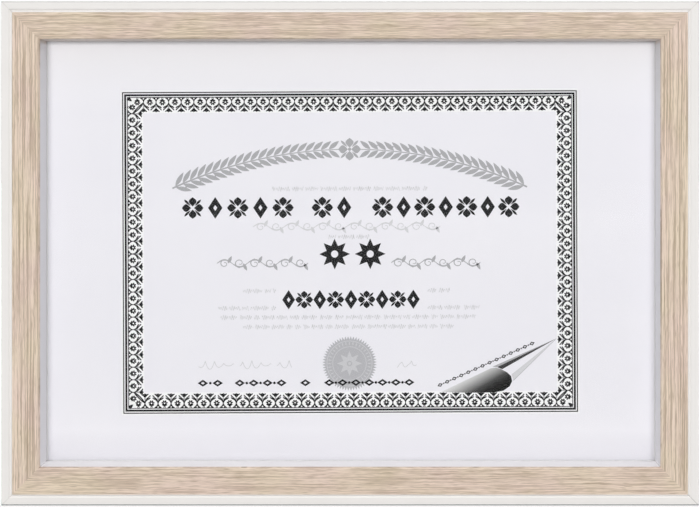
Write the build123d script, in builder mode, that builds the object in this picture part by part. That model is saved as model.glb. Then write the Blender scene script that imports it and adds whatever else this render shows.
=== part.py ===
"""Certificate frame for one A4 sheet, landscape, hung on a wall.

X runs to the right as seen from the front, Y towards the wall, Z up. The origin is the middle of the
bottom edge, halfway through the depth of the moulding. Lengths are in millimetres.
"""

import os
from math import sqrt

from build123d import *

# Sheets held in the rabbet, from the front: glazing, certificate, backing board
sheet_width = 297.0
sheet_height = 210.0
sheet_play = 1.0  # gap between a sheet's edge and the rabbet wall
glazing_thickness = 1.0
print_gap = 0.1  # air between the glazing and the print
certificate_thickness = 0.2
board_thickness = 3.2
board_edge_chamfer = 0.4

# Moulding section: a full-depth wall outside the rabbet and a lip in front of the sheets
wall_width = 7.5
lip_width = 9.5
lip_depth = 10.5
rear_round = 0.5

# Face of the moulding: a white rim, a V groove and an oak strip that wraps the sight edge
rim_width = 3.5
rim_round = 0.7
groove_depth = 0.7
groove_margin = 0.15  # white land between the groove and the strip
strip_thickness = 0.5
strip_wrap = 2.0
sight_round = 0.7
mitre_gap = 0.03  # open joint line between two mitred ends

# V nails that join the mitres: one driven into the rear face, one into the floor of the rabbet
nail_thickness = 0.5
nail_bend_radius = 0.6
nail_leg = 4.0
nail_cover = 3.5  # wood left between a nail and the front face of the lip
outer_nail_margin = 1.6  # from the point of the V to the rabbet wall
inner_nail_margin = 3.0  # from the point of the V to the sight edge

# Turn buttons that hold the backing board
long_side_button_spacing = 160.0
button_thickness = 1.0
button_eye_radius = 3.6
button_tip_width = 5.0
button_reach = 13.5
tab_height = 2.2  # of the finger tab above the plate
tab_bend_radius = 0.8
tab_corner_round = 1.2
rib_width = 2.2
rib_height = 0.4
rib_margin = 1.2  # left flat at both ends of the rib
turn_clearance = 0.1  # under and over a turn button, and round its screw

# Their screws
screw_shank_radius = 1.25
screw_root_radius = 0.95
screw_head_radius = 2.6
screw_head_height = 1.4
screw_head_round = 0.8
screw_grip = 7.0  # length of the shank in the rail
screw_plain_length = 1.0
screw_tip_length = 1.5
thread_pitch = 0.9
recess_length = 2.6
recess_width = 0.6
recess_depth = 0.9
screw_fit = 0.02
pilot_extra = 1.0

# Ring hangers riveted to the backing board: one for landscape, one for portrait
landscape_hanger_drop = 24.0  # from the top edge to the ring's hinge
portrait_hanger_inset = 41.0  # from the left edge to the ring's hinge
wire_radius = 0.9
ring_half_width = 10.0
ring_height = 20.0
ring_bend_radius = 2.5
ring_end_gap = 0.4
hinge_clearance = 0.1
strap_thickness = 0.6
strap_width = 9.0
strap_tail_round = 2.5
rivet_head_radius = 2.1
rivet_head_height = 0.9
rivet_shank_radius = 1.4
rivet_flare_radius = 2.2
rivet_fit = 0.03
rivet_margin = 1.0  # from the rivet's head to the loop, and to the end of the strap

overrun = 1.0  # how far every cutting shape runs past what it cuts

# Sizes that follow from those above
moulding_width = wall_width + lip_width
glazing_depth = board_thickness + certificate_thickness + print_gap
rabbet_depth = glazing_depth + glazing_thickness
moulding_depth = lip_depth + rabbet_depth
outer_width = sheet_width + 2 * (sheet_play + wall_width)
outer_height = sheet_height + 2 * (sheet_play + wall_width)
rear_y = moulding_depth / 2

button_top = turn_clearance + button_thickness
screw_head_seat = button_top + turn_clearance
pivot_inset = wall_width / 2

loop_bore_radius = wire_radius + hinge_clearance
loop_radius = loop_bore_radius + strap_thickness
leaves_thickness = 2 * strap_thickness
rivet_offset = loop_radius + rivet_margin + rivet_head_radius
strap_length = rivet_offset + rivet_head_radius + rivet_margin

TO_FRONT = (0, -1, 0)
TO_WALL = (0, 1, 0)
RIGHT = (1, 0, 0)
LEFT = (-1, 0, 0)
UP = (0, 0, 1)
DOWN = (0, 0, -1)


def side_plane(x, z, along):
    """On the rear face at the middle of an outer edge: x along the edge, y inwards, z forwards."""
    return Plane(origin=(x, rear_y, z), x_dir=along, z_dir=TO_FRONT)


def rear_plane(x, z, pointing):
    """On the rear face: x as given, z towards the wall."""
    return Plane(origin=(x, rear_y, z), x_dir=pointing, z_dir=TO_WALL)


sides = {
    "bottom": (side_plane(0, 0, RIGHT), outer_width),
    "right": (side_plane(outer_width / 2, outer_height / 2, UP), outer_height),
    "top": (side_plane(0, outer_height, LEFT), outer_width),
    "left": (side_plane(-outer_width / 2, outer_height / 2, DOWN), outer_height),
}

top_pivot_z = outer_height - pivot_inset
long_side_pivot_x = long_side_button_spacing / 2
short_side_pivot_x = outer_width / 2 - pivot_inset
button_spots = {
    "top_left": ("top", rear_plane(-long_side_pivot_x, top_pivot_z, DOWN)),
    "top_right": ("top", rear_plane(long_side_pivot_x, top_pivot_z, DOWN)),
    "bottom_left": ("bottom", rear_plane(-long_side_pivot_x, pivot_inset, UP)),
    "bottom_right": ("bottom", rear_plane(long_side_pivot_x, pivot_inset, UP)),
    "left": ("left", rear_plane(-short_side_pivot_x, outer_height / 2, RIGHT)),
    "right": ("right", rear_plane(short_side_pivot_x, outer_height / 2, LEFT)),
}

hanger_spots = {
    "landscape": rear_plane(0, outer_height - landscape_hanger_drop, DOWN),
    "portrait": rear_plane(-outer_width / 2 + portrait_hanger_inset, outer_height / 2, RIGHT),
}

os.makedirs("parts", exist_ok=True)


def save(piece, name):
    piece.label = name
    export_step(piece, f"parts/{name}.step")


def vertex_near(sketch, point):
    return sketch.vertices().sort_by_distance(Vector(*point))[0]


# Corner V nails

outer_apex = wall_width - outer_nail_margin
inner_apex = moulding_width - inner_nail_margin

with BuildPart() as v_nails:
    for side, length in sides.values():
        corner = Plane(
            origin=side.from_local_coords((-length / 2, 0, 0)), x_dir=side.x_dir, z_dir=side.z_dir
        )
        for apex, sink in ((outer_apex, 0), (inner_apex, rabbet_depth)):
            with BuildSketch(corner.offset(sink)):
                with BuildLine():
                    FilletPolyline(
                        (apex - nail_leg, apex),
                        (apex, apex),
                        (apex, apex - nail_leg),
                        radius=nail_bend_radius,
                    )
                trace(line_width=nail_thickness)
            extrude(amount=lip_depth - nail_cover)
save(v_nails.part, "corner_v_nails")

# Rails and their oak strips: sections are (inwards from the outer edge, forwards from the rear face)

groove_end = rim_width + 2 * groove_depth
strip_start = groove_end + groove_margin
strip_outer_points = [
    (strip_start, moulding_depth),
    (moulding_width, moulding_depth),
    (moulding_width, moulding_depth - strip_wrap),
]
seat_level = moulding_depth - strip_thickness
strip_seat_points = [
    (strip_start, seat_level),
    (moulding_width - strip_thickness, seat_level),
    (moulding_width - strip_thickness, moulding_depth - strip_wrap),
]
strip_points = [*strip_outer_points, *reversed(strip_seat_points)]
rail_points = [
    (0, 0),
    (0, moulding_depth),
    (rim_width, moulding_depth),
    (rim_width + groove_depth, moulding_depth - groove_depth),
    (groove_end, moulding_depth),
    strip_outer_points[0],
    *strip_seat_points,
    strip_outer_points[-1],
    (moulding_width, rabbet_depth),
    (wall_width, rabbet_depth),
    (wall_width, 0),
]
inner_sight_round = sight_round - strip_thickness
rail_rounds = [
    ((0, 0), rear_round),
    ((0, moulding_depth), rim_round),
    (strip_seat_points[1], inner_sight_round),
]
strip_rounds = [(strip_outer_points[1], sight_round), (strip_seat_points[1], inner_sight_round)]


def make_mitred_length(side, length, points, rounds):
    """Extrude a section along one side and mitre both ends, held back by half the mitre gap."""
    start = side.from_local_coords((-length / 2, 0, 0))
    mitre_half = length / 2 - mitre_gap / sqrt(2)
    with BuildPart() as piece:
        with BuildSketch(Plane(origin=start, x_dir=side.y_dir, z_dir=side.x_dir)) as section:
            with BuildLine():
                Polyline(*points, close=True)
            make_face()
            for point, radius in rounds:
                fillet(vertex_near(section, point), radius=radius)
        extrude(amount=length)
        with BuildSketch(side.offset(-overrun)):
            with BuildLine():
                Polyline(
                    (-mitre_half - overrun, -overrun),
                    (mitre_half + overrun, -overrun),
                    (mitre_half - moulding_width - overrun, moulding_width + overrun),
                    (-mitre_half + moulding_width + overrun, moulding_width + overrun),
                    close=True,
                )
            make_face()
        extrude(amount=moulding_depth + 2 * overrun, mode=Mode.INTERSECT)
    return piece.part


for side_name, (side, length) in sides.items():
    mitred = make_mitred_length(side, length, rail_points, rail_rounds)
    with BuildPart() as rail:
        add(mitred)
        add(v_nails.part, mode=Mode.SUBTRACT)
        with Locations(*[spot for where, spot in button_spots.values() if where == side_name]):
            Hole(screw_shank_radius + screw_fit, depth=screw_grip + pilot_extra)
    save(rail.part, f"rail_{side_name}")
    save(make_mitred_length(side, length, strip_points, strip_rounds), f"oak_strip_{side_name}")

# Sheets in the rabbet


def sheet_plane(depth):
    """The plane of a sheet whose rear face lies this far in front of the rear face."""
    return Plane(origin=(0, rear_y - depth, outer_height / 2), x_dir=RIGHT, z_dir=TO_FRONT)


with BuildPart() as glazing:
    with BuildSketch(sheet_plane(glazing_depth)):
        Rectangle(sheet_width, sheet_height)
    extrude(amount=glazing_thickness)
save(glazing.part, "acrylic_glazing")

with BuildPart() as certificate:
    with BuildSketch(sheet_plane(board_thickness)):
        Rectangle(sheet_width, sheet_height)
    extrude(amount=certificate_thickness)
save(certificate.part, "certificate_sheet")

rivet_planes = []
for spot in hanger_spots.values():
    rivet_planes.append(spot.shift_origin(spot.from_local_coords((rivet_offset, 0, 0))))

with BuildPart() as board:
    with BuildSketch(sheet_plane(0)):
        Rectangle(sheet_width, sheet_height)
    extrude(amount=board_thickness)
    chamfer(board.faces().sort_by(Axis.Y)[-1].edges(), length=board_edge_chamfer)
    with Locations(*[-plane.offset(-board_thickness) for plane in rivet_planes]):
        CounterSinkHole(
            rivet_shank_radius + rivet_fit, rivet_flare_radius + rivet_fit, counter_sink_angle=90
        )
save(board.part, "backing_board")

# Turn button: its pivot at the origin, its arm along X, Z away from the rear face

tab_middle = button_reach - button_thickness / 2
plate_middle = turn_clearance + button_thickness / 2
rib_start = screw_head_radius + rib_margin
rib_end = button_reach - button_thickness - rib_margin

with BuildPart() as button:
    with BuildSketch(Plane.XZ):
        with BuildLine():
            FilletPolyline(
                (-button_eye_radius, plate_middle),
                (tab_middle, plate_middle),
                (tab_middle, button_top + tab_height),
                radius=tab_bend_radius,
            )
        trace(line_width=button_thickness)
    extrude(amount=button_eye_radius, both=True)
    with BuildSketch(Plane.XY):
        Circle(button_eye_radius)
        with Locations((tab_middle, 0)):
            Rectangle(button_thickness, button_tip_width)
        make_hull()
    extrude(amount=button_top + tab_height + overrun, mode=Mode.INTERSECT)
    tab_end_edges = button.faces().sort_by(Axis.Z)[-1].edges().sort_by(Axis.Y)
    fillet([tab_end_edges[0], tab_end_edges[-1]], radius=tab_corner_round)
    with BuildSketch(Plane.XY.offset(button_top)):
        with Locations(((rib_start + rib_end) / 2, 0)):
            SlotOverall(rib_end - rib_start, rib_width)
    extrude(amount=rib_height, taper=45)
    with Locations(Plane.XY.offset(screw_head_seat)):
        Hole(screw_shank_radius + turn_clearance)

for spot_name, (side_name, spot) in button_spots.items():
    save(button.part.moved(spot.location), f"turn_button_{spot_name}")

# Screw of a turn button: pan head, cross recess and ringed threads

screw_top = screw_head_seat + screw_head_height
thread_turns = int((screw_grip - screw_plain_length - screw_tip_length) / thread_pitch)
thread_points = []
for turn in range(thread_turns):
    depth = screw_plain_length + turn * thread_pitch
    thread_points.append((screw_shank_radius, -depth))
    thread_points.append((screw_root_radius, -depth - thread_pitch / 2))

with BuildPart() as screw:
    with BuildSketch(Plane.XZ) as section:
        with BuildLine():
            Polyline(
                (0, screw_top),
                (screw_head_radius, screw_top),
                (screw_head_radius, screw_head_seat),
                (screw_shank_radius, screw_head_seat),
                *thread_points,
                (screw_shank_radius, -screw_plain_length - thread_turns * thread_pitch),
                (0, -screw_grip),
                close=True,
            )
        make_face()
        fillet(vertex_near(section, (screw_head_radius, screw_top)), radius=screw_head_round)
    revolve(axis=Axis.Z)
    with BuildSketch(Plane.XY.offset(screw_top)):
        Rectangle(recess_length, recess_width)
        Rectangle(recess_width, recess_length)
    extrude(amount=-recess_depth, mode=Mode.SUBTRACT)

with BuildPart() as screws:
    with Locations(*[spot for side_name, spot in button_spots.values()]):
        add(screw.part)
save(screws.part, "turn_button_screws")

# Hanger: a strap folded round the ring's wire, its hinge on Y at the origin, its tail along X

with BuildPart() as strap:
    with BuildSketch(Plane.XZ):
        with Locations((0, loop_radius)):
            Circle(loop_radius)
        with Locations((strap_length / 2, leaves_thickness / 2)):
            Rectangle(strap_length, leaves_thickness)
        with Locations((0, loop_radius)):
            Circle(loop_bore_radius, mode=Mode.SUBTRACT)
    extrude(amount=strap_width / 2, both=True)
    fillet(strap.edges().filter_by(Axis.Z).group_by(Axis.X)[-1], radius=strap_tail_round)
    with Locations((rivet_offset, 0, leaves_thickness)):
        Hole(rivet_shank_radius + rivet_fit)

with BuildPart() as ring:
    with BuildLine(Plane.XY.offset(loop_radius)) as wire:
        FilletPolyline(
            (0, ring_end_gap / 2),
            (0, ring_half_width),
            (ring_height, 0),
            (0, -ring_half_width),
            (0, -ring_end_gap / 2),
            radius=ring_bend_radius,
        )
    with BuildSketch(Plane(origin=wire.line @ 0, z_dir=wire.line % 0)):
        Circle(wire_radius)
    sweep()

for spot_name, spot in hanger_spots.items():
    save(strap.part.moved(spot.location), f"hanger_strap_{spot_name}")
    save(ring.part.moved(spot.location), f"hanger_ring_{spot_name}")

# Rivet: its domed head holds the strap and its tail is flared flush with the board's front face

head_top = (0, leaves_thickness + rivet_head_height)
head_rim = (rivet_head_radius, leaves_thickness)
flare_height = rivet_flare_radius - rivet_shank_radius

with BuildPart() as rivet:
    with BuildSketch(Plane.XZ):
        with BuildLine():
            Polyline(
                head_top,
                (0, -board_thickness),
                (rivet_flare_radius, -board_thickness),
                (rivet_shank_radius, flare_height - board_thickness),
                (rivet_shank_radius, leaves_thickness),
                head_rim,
            )
            TangentArc(head_top, head_rim, tangent=(1, 0))
        make_face()
    revolve(axis=Axis.Z)

with BuildPart() as rivets:
    with Locations(*rivet_planes):
        add(rivet.part)
save(rivets.part, "hanger_rivets")
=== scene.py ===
"""Looks of the certificate frame: materials for every piece, and the print on the certificate.

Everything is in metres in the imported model's frame: X to the right, Y towards the wall, Z up.
The print is drawn in millimetres on its own plane, u to the right and v up from its middle.
"""

import math
import random
from types import SimpleNamespace
from typing import NamedTuple

import bmesh
import bpy
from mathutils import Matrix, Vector
from mathutils.geometry import tessellate_polygon


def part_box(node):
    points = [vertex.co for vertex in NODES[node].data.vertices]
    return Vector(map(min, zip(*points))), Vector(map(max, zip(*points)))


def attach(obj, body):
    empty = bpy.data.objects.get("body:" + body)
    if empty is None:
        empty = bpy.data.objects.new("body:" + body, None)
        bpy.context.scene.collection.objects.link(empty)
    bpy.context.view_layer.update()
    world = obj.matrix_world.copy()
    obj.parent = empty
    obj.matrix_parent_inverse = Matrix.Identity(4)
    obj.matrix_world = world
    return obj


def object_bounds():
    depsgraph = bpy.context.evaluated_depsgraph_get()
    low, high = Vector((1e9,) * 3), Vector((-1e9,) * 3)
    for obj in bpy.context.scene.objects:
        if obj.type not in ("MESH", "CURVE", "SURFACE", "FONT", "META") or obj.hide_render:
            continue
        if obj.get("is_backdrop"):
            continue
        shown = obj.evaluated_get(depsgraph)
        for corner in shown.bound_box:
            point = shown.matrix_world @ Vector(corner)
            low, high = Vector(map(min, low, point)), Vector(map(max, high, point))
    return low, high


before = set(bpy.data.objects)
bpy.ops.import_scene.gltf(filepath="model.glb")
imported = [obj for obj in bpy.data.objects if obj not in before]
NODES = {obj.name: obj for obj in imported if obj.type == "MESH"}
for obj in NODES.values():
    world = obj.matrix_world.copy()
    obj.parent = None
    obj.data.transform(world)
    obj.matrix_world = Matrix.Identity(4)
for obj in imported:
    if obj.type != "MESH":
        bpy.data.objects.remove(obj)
cad_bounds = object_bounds()

MM = 0.001
BODY = "frame"  # the body that carries the card, and so the print

# Places read from the frame

rail_low, rail_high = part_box("rail_bottom")
HALF_WIDTH, MOULDING_WIDTH = rail_high.x, rail_high.z
FRONT_Y = rail_low.y
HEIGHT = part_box("rail_top")[1].z
MIDDLE_Z = HEIGHT / 2
SIGHT_LOW, SIGHT_HIGH = MOULDING_WIDTH, HEIGHT - MOULDING_WIDTH
GLAZING_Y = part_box("acrylic_glazing")[0].y
PAPER_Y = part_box("certificate_sheet")[0].y


def srgb(red, green, blue):
    """A linear colour from 0-255 display values."""
    linear = []
    for value in (red, green, blue):
        share = value / 255
        linear.append(share / 12.92 if share <= 0.04045 else ((share + 0.055) / 1.055) ** 2.4)
    return (*linear, 1.0)


# Camera

IMAGE_WIDTH_PX = 700
VIEW_DISTANCE = 450 * MM  # from the lens to the front of the moulding
PX = 0.4496 * MM  # one pixel at the front of the moulding
AXIS_RIGHT_PX, AXIS_UP_PX = 40.5, 95  # from the picture's middle to the lens axis
FRAME_UP_PX = 0.1  # from the picture's middle to the frame's middle
SENSOR_WIDTH = 36  # mm, as Blender's lens lengths are
NEAREST_SEEN = 10 * MM


def make_camera():
    data = bpy.data.cameras.new("camera")
    camera = bpy.data.objects.new("camera", data)
    bpy.context.scene.collection.objects.link(camera)
    camera.location = (
        AXIS_RIGHT_PX * PX,
        FRONT_Y - VIEW_DISTANCE,
        MIDDLE_Z + (AXIS_UP_PX - FRAME_UP_PX) * PX,
    )
    camera.rotation_euler = (math.radians(90), 0, 0)
    data.sensor_width = SENSOR_WIDTH
    data.lens = SENSOR_WIDTH * VIEW_DISTANCE / (IMAGE_WIDTH_PX * PX)
    data.shift_x = -AXIS_RIGHT_PX / IMAGE_WIDTH_PX
    data.shift_y = -AXIS_UP_PX / IMAGE_WIDTH_PX
    data.clip_start = NEAREST_SEEN
    bpy.context.scene.camera = camera


# Materials


def seen_rays(tree):
    """1 for rays from the camera, also mirrored and through glass, and 0 for the rest."""
    path = tree.nodes.new("ShaderNodeLightPath")
    seen = path.outputs["Is Camera Ray"]
    for ray in ("Is Glossy Ray", "Is Transmission Ray"):
        either = tree.nodes.new("ShaderNodeMath")
        either.operation = "MAXIMUM"
        tree.links.new(seen, either.inputs[0])
        tree.links.new(path.outputs[ray], either.inputs[1])
        seen = either.outputs[0]
    return seen


class Shade:
    """One node material, with short calls for the nodes that these finishes use."""

    def __init__(self, name):
        self.material = bpy.data.materials.new(name)
        self.material.use_nodes = True
        self.tree = self.material.node_tree
        self.tree.nodes.clear()
        output = self.tree.nodes.new("ShaderNodeOutputMaterial")
        self.surface = self.tree.nodes.new("ShaderNodeBsdfPrincipled")
        self.tree.links.new(self.surface.outputs["BSDF"], output.inputs["Surface"])

    def feed(self, socket, value):
        if isinstance(value, bpy.types.NodeSocket):
            self.tree.links.new(value, socket)
        else:
            socket.default_value = value

    def set(self, **values):
        for name, value in values.items():
            self.feed(self.surface.inputs[name.replace("_", " ")], value)

    def place(self):
        """A point's place in the frame, in metres."""
        return self.tree.nodes.new("ShaderNodeTexCoord").outputs["Object"]

    def split(self, vector):
        node = self.tree.nodes.new("ShaderNodeSeparateXYZ")
        self.feed(node.inputs[0], vector)
        return node.outputs[0], node.outputs[1], node.outputs[2]

    def join(self, x, y, z):
        node = self.tree.nodes.new("ShaderNodeCombineXYZ")
        for socket, value in zip(node.inputs, (x, y, z)):
            self.feed(socket, value)
        return node.outputs[0]

    def math(self, operation, *values):
        node = self.tree.nodes.new("ShaderNodeMath")
        node.operation = operation
        for socket, value in zip(node.inputs, values):
            self.feed(socket, value)
        return node.outputs[0]

    def add(self, first, second):
        return self.math("ADD", first, second)

    def minus(self, first, second):
        return self.math("SUBTRACT", first, second)

    def times(self, first, second):
        return self.math("MULTIPLY", first, second)

    def apart(self, first, second):
        """How far two values are apart."""
        return self.math("ABSOLUTE", self.minus(first, second))

    def lesser(self, first, second):
        return self.math("MINIMUM", first, second)

    def above(self, value, limit):
        """1 above the limit and 0 below it."""
        return self.math("GREATER_THAN", value, limit)

    def below(self, value, limit):
        return self.math("LESS_THAN", value, limit)

    def noise(self, vector, per_metre, detail=3.0, roughness=0.5, distortion=0.0):
        node = self.tree.nodes.new("ShaderNodeTexNoise")
        self.feed(node.inputs["Vector"], vector)
        node.inputs["Scale"].default_value = per_metre
        node.inputs["Detail"].default_value = detail
        node.inputs["Roughness"].default_value = roughness
        node.inputs["Distortion"].default_value = distortion
        return node.outputs["Fac"]

    def range(self, value, low, high, to_low=0.0, to_high=1.0):
        """The value's place between low and high, from to_low to to_high and never past them."""
        node = self.tree.nodes.new("ShaderNodeMapRange")
        for socket, number in zip(node.inputs, (value, low, high, to_low, to_high)):
            self.feed(socket, number)
        return node.outputs["Result"]

    def spread(self, noise, to_low=0.0, to_high=1.0):
        """Noise stretched over a range, as by itself it seldom leaves 0.3 to 0.7."""
        return self.range(noise, 0.3, 0.7, to_low, to_high)

    def between(self, share, first, second):
        """The first number where the share is 0, and the second where it is 1."""
        return self.range(share, 0.0, 1.0, first, second)

    def mix(self, share, first, second):
        """The first colour, with a share of the second."""
        node = self.tree.nodes.new("ShaderNodeMix")
        node.data_type = "RGBA"
        colours = [socket for socket in node.inputs if socket.type == "RGBA"]
        self.feed(node.inputs["Factor"], share)
        self.feed(colours[0], first)
        self.feed(colours[1], second)
        return [socket for socket in node.outputs if socket.type == "RGBA"][0]

    def bump(self, height, distance, strength):
        node = self.tree.nodes.new("ShaderNodeBump")
        node.inputs["Strength"].default_value = strength
        node.inputs["Distance"].default_value = distance
        self.feed(node.inputs["Height"], height)
        return node.outputs["Normal"]


FOIL_TURN_IN = 2.6 * MM  # how far the foil reaches round the back
FOIL_RAGGED = 0.3 * MM  # how unevenly it ends there
FOIL_PAST_LIP = 0.1 * MM  # how far it reaches into the rabbet
WALL_DEPTH = 0.1 * MM  # the foil's layer that counts as an inner wall
SILL_BLEND = 1.0 * MM  # over which the lower wall's painted light gives way to the side walls' painted shade
LINTEL_BLEND = 2.0 * MM  # over which the side walls' painted shade gives way to the upper wall's darker painted shade
LINTEL_DEPTH = 0.2 * MM
PAINTED_SHADE_BAND = 0.75 * MM  # the height of the bands of painted shade along the frame's lowest and highest edges
SEAM_CORE, SEAM_REACH = 0.1 * MM, 0.3 * MM  # from a mitre's middle, where its dark line is full and ends
SEAM_SHARE, OPEN_SEAM_SHARE = 0.14, 0.42  # how dark the mitres are, and the open one at the bottom right

FOIL_DULL, FOIL_BRIGHT = srgb(243, 240, 237), srgb(246, 243, 240)
# Inner walls: painted light on the lower one, painted shade on the sides and darker painted shade on the
# upper one
SILL_PAINTED_LIGHT, WALL_PAINTED_SHADE, LINTEL_PAINTED_SHADE = srgb(255, 253, 254), srgb(236, 235, 238), srgb(224, 213, 205)
# Painted shade along the frame's lowest and highest edges
UNDERSIDE_PAINTED_SHADE, TOP_EDGE_PAINTED_SHADE = srgb(186, 187, 187), srgb(224, 222, 220)
SEAM_GREY = srgb(118, 116, 112)
CORE_DARK, CORE_LIGHT = srgb(168, 133, 94), srgb(196, 163, 122)


def foil_white_and_painted_shade(shade, place, inwards):
    """The foil's white face, with painted light on the lower inner wall and painted shade on the other
    inner walls and along the frame's lowest and highest edges.
    """
    z = shade.split(place)[2]
    face = shade.mix(shade.spread(shade.noise(place, 60.0, detail=4.0)), FOIL_DULL, FOIL_BRIGHT)
    # Painted light on the lower inner wall, painted shade on the side walls and darker painted shade on the
    # upper wall
    past_sill = shade.range(z, SIGHT_LOW + WALL_DEPTH, SIGHT_LOW + SILL_BLEND)
    wall = shade.mix(past_sill, SILL_PAINTED_LIGHT, WALL_PAINTED_SHADE)
    past_sides = shade.range(z, SIGHT_HIGH - LINTEL_BLEND, SIGHT_HIGH - LINTEL_DEPTH)
    wall = shade.mix(past_sides, wall, LINTEL_PAINTED_SHADE)
    foil = shade.mix(shade.above(inwards, MOULDING_WIDTH - WALL_DEPTH), face, wall)
    # Painted shade in grey bands along the lowest and highest edges
    foil = shade.mix(shade.below(z, PAINTED_SHADE_BAND), foil, UNDERSIDE_PAINTED_SHADE)
    return shade.mix(shade.above(z, HEIGHT - PAINTED_SHADE_BAND), foil, TOP_EDGE_PAINTED_SHADE)


def mitre_share(shade, x, z, from_side, from_ends):
    """How much of the seams' tone shows: most at the bottom right, where the mitre gapes a little."""
    seam = shade.range(shade.apart(from_side, from_ends), SEAM_CORE, SEAM_REACH, 1.0, 0.0)
    bottom_right = shade.times(shade.above(x, 0.0), shade.below(z, MIDDLE_Z))
    return shade.times(seam, shade.between(bottom_right, SEAM_SHARE, OPEN_SEAM_SHARE))


def make_white_foil():
    """White foil on the moulding, with the bare core in the rabbet and on the rear face."""
    shade = Shade("white_foil")
    place = shade.place()
    x, y, z = shade.split(place)
    from_side = shade.minus(HALF_WIDTH, shade.math("ABSOLUTE", x))
    from_ends = shade.lesser(z, shade.minus(HEIGHT, z))
    inwards = shade.lesser(from_side, from_ends)
    foil = foil_white_and_painted_shade(shade, place, inwards)
    foil = shade.mix(mitre_share(shade, x, z, from_side, from_ends), foil, SEAM_GREY)
    ragged = shade.times(shade.noise(place, 900.0), FOIL_RAGGED)
    past_foil = shade.above(shade.minus(inwards, ragged), FOIL_TURN_IN)
    bare = shade.times(past_foil, shade.above(y, GLAZING_Y + FOIL_PAST_LIP))
    fibres = shade.noise(place, 1400.0, detail=5.0, roughness=0.7)
    core = shade.mix(shade.range(fibres, 0.3, 0.75), CORE_DARK, CORE_LIGHT)
    peel = shade.noise(place, 700.0, detail=2.0)
    shade.set(
        Base_Color=shade.mix(bare, foil, core),
        Roughness=shade.spread(peel, 0.38, 0.50),
        Normal=shade.bump(peel, 0.02 * MM, strength=0.35),
        Specular_IOR_Level=0.28,
    )
    return shade.material


class Streaks(NamedTuple):
    """One kind of streak in the oak."""

    per_metre: float  # across the grain
    stretch: float  # how many times longer it is along the grain
    share: float  # how much it counts


class Grain(NamedTuple):
    """The figure of an oak strip."""

    sway: float  # how far its streaks wander sideways
    broad: Streaks
    narrow: Streaks
    fine: Streaks
    dark_lines: Streaks  # their share is how much of the tone they leave


LEVEL_GRAIN = Grain(
    sway=1.1 * MM,
    broad=Streaks(1500.0, 120.0, 0.30),
    narrow=Streaks(3200.0, 34.0, 0.40),
    fine=Streaks(4200.0, 22.0, 0.30),
    dark_lines=Streaks(2000.0, 60.0, 0.50),
)
UPRIGHT_GRAIN = Grain(
    sway=0.9 * MM,
    broad=Streaks(1150.0, 90.0, 0.36),
    narrow=Streaks(2300.0, 50.0, 0.40),
    fine=Streaks(4200.0, 22.0, 0.24),
    dark_lines=Streaks(1500.0, 110.0, 0.22),
)
OAK_PORES = Streaks(2400.0, 18.0, 0.55)
OAK_RIPPLE = 0.5 * MM  # a shorter sway over the long one
OAK_DARKEST = 0.35  # the noise that shows darkest
OAK_PALEST = {"bottom": 0.545, "right": 0.542, "top": 0.577, "left": 0.537}  # the noise that shows palest
OAK_SEED = 3.7  # from one side's figure to the next one's
OAK_PALE_WARM, OAK_PALE_PINK = srgb(238, 221, 199), srgb(239, 218, 203)
OAK_DARK_WARM, OAK_DARK_PINK = srgb(182, 164, 141), srgb(185, 163, 147)
OAK_PORE = srgb(166, 146, 124)


def bent_grain(shade, along, across, sway, seed):
    """The place across the strip, shifted to and fro along it, so that no streak runs quite straight."""
    wander = shade.noise(shade.join(along, shade.times(across, 0.6), seed), 26.0, detail=2.0)
    ripple = shade.noise(shade.join(along, across, seed + 2.0), 190.0, detail=2.0)
    long_sway = shade.times(shade.minus(wander, 0.5), sway)
    short_sway = shade.times(shade.minus(ripple, 0.5), OAK_RIPPLE)
    return shade.add(across, shade.add(long_sway, short_sway))


def make_oak(side, seed):
    """Limed-oak foil: pale and dark streaks along the strip, straighter on the uprights."""
    shade = Shade(f"limed_oak_{side}")
    x, y, z = shade.split(shade.place())
    upright = side in ("left", "right")
    along, across = (z, x) if upright else (x, z)
    grain = UPRIGHT_GRAIN if upright else LEVEL_GRAIN
    bent = bent_grain(shade, along, across, grain.sway, seed)

    def streaks(kind, offset, detail=1.0):
        """Noise drawn out along the grain, its figure set by the offset."""
        point = shade.join(bent, shade.math("DIVIDE", along, kind.stretch), seed + offset)
        return shade.noise(point, kind.per_metre, detail)

    tone = shade.times(streaks(grain.broad, 0.0), grain.broad.share)
    tone = shade.add(tone, shade.times(streaks(grain.narrow, 7.0), grain.narrow.share))
    tone = shade.add(tone, shade.times(streaks(grain.fine, 13.0), grain.fine.share))
    tone = shade.range(tone, OAK_DARKEST, OAK_PALEST[side])
    lines = shade.range(streaks(grain.dark_lines, 31.0, detail=0.0), 0.54, 0.64)
    tone = shade.times(tone, shade.between(lines, 1.0, grain.dark_lines.share))
    pores = shade.range(streaks(OAK_PORES, 19.0), 0.62, 0.72)
    cloud = shade.noise(shade.join(across, shade.times(along, 0.5), seed + 23.0), 70.0, detail=2.0)
    pinkness = shade.range(cloud, 0.36, 0.64)
    pale = shade.mix(pinkness, OAK_PALE_WARM, OAK_PALE_PINK)
    dark = shade.mix(pinkness, OAK_DARK_WARM, OAK_DARK_PINK)
    wood = shade.mix(tone, dark, pale)
    shade.set(
        Base_Color=shade.mix(shade.times(pores, OAK_PORES.share), wood, OAK_PORE),
        Roughness=shade.between(tone, 0.60, 0.50),
        Normal=shade.bump(shade.minus(tone, shade.times(pores, 0.8)), 0.05 * MM, strength=0.6),
        Specular_IOR_Level=0.3,
    )
    return shade.material


PANE_INDEX = 1.16  # lower than acrylic's, for a pane that mirrors little from the front


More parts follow.
